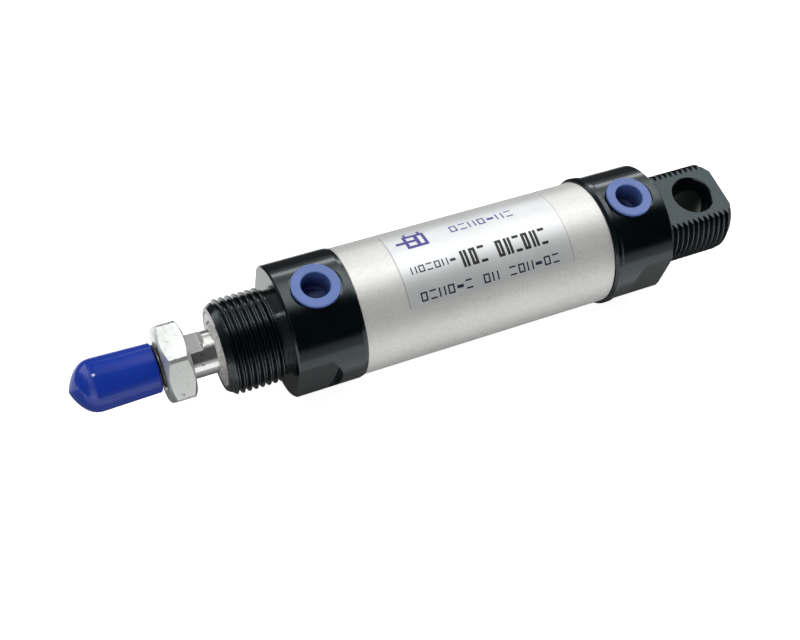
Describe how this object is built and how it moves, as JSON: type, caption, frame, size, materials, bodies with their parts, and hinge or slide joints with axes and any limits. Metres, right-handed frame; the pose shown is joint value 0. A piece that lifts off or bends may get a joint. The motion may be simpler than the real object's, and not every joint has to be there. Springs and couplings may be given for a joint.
{
  "type": "pneumatic cylinder",
  "caption": "Round double-acting pneumatic cylinder with a flattened rear pivot lug, threaded nose, side ports with plugs, and a nut and cap on the rod.",
  "frame": {"origin": "centre of the rear pivot hole, on the cylinder's axis", "axes": "+X along the axis towards the rod's tip, +Z along the pivot hole and out of both air ports, +Y completes the right-handed frame"},
  "size_m": [0.1623, 0.0314, 0.0316],
  "materials": {
    "cover_black": "black anodised turned aluminium, semi-gloss",
    "barrel_silver": "natural anodised drawn tube, satin",
    "label_foil": "silver foil rating label, satin",
    "bushing_bronze": "sintered bronze",
    "seal_rubber": "nitrile rubber",
    "packing_urethane": "pale grey polyurethane, slightly mottled",
    "bumper_urethane": "amber polyurethane",
    "wear_ring_plastic": "filled PTFE",
    "piston_alloy": "turned aluminium",
    "rod_chrome": "hard chromed ground steel",
    "piston_nut_steel": "plain steel",
    "nut_plated": "bright zinc-plated steel",
    "cap_blue": "dipped soft plastic, glossy royal blue",
    "plug_blue": "moulded plastic, light violet blue"
  },
  "bodies": {
    "cylinder_body": {"front_cover": "cover_black", "rear_cover": "cover_black", "barrel_tube": "barrel_silver", "nameplate_label": "label_foil", "rod_bushing": "bushing_bronze", "rod_packing": "packing_urethane", "rear_bumper": "bumper_urethane", "front_bumper": "bumper_urethane", "rear_tube_o_ring": "seal_rubber", "front_tube_o_ring": "seal_rubber"},
    "piston_seal_set": {"piston_seal_front": "seal_rubber", "piston_seal_rear": "seal_rubber", "piston_wear_ring": "wear_ring_plastic"},
    "piston_and_rod": {"piston": "piston_alloy", "piston_rod": "rod_chrome", "piston_o_ring": "seal_rubber", "piston_nut": "piston_nut_steel", "rod_nut": "nut_plated"},
    "thread_cap": {"rod_thread_cap": "cap_blue"},
    "front_plug": {"front_port_plug": "plug_blue"},
    "rear_plug": {"rear_port_plug": "plug_blue"}
  },
  "joints": [
    {"name": "rod_slide", "type": "slide", "parent": "cylinder_body", "child": "piston_seal_set", "axis": [1, 0, 0], "range_m": [0, 0.025]},
    {"name": "rod_turn", "type": "hinge", "parent": "piston_seal_set", "child": "piston_and_rod", "pos_m": [0.048, 0, 0], "axis": [1, 0, 0], "continuous": true},
    {"name": "cap_pull", "type": "slide", "parent": "piston_and_rod", "child": "thread_cap", "axis": [1, 0, 0], "range_m": [0, 0.022]},
    {"name": "front_plug_pull", "type": "slide", "parent": "cylinder_body", "child": "front_plug", "axis": [0, 0, 1], "range_m": [0, 0.012]},
    {"name": "rear_plug_pull", "type": "slide", "parent": "cylinder_body", "child": "rear_plug", "axis": [0, 0, 1], "range_m": [0, 0.012]}
  ]
}
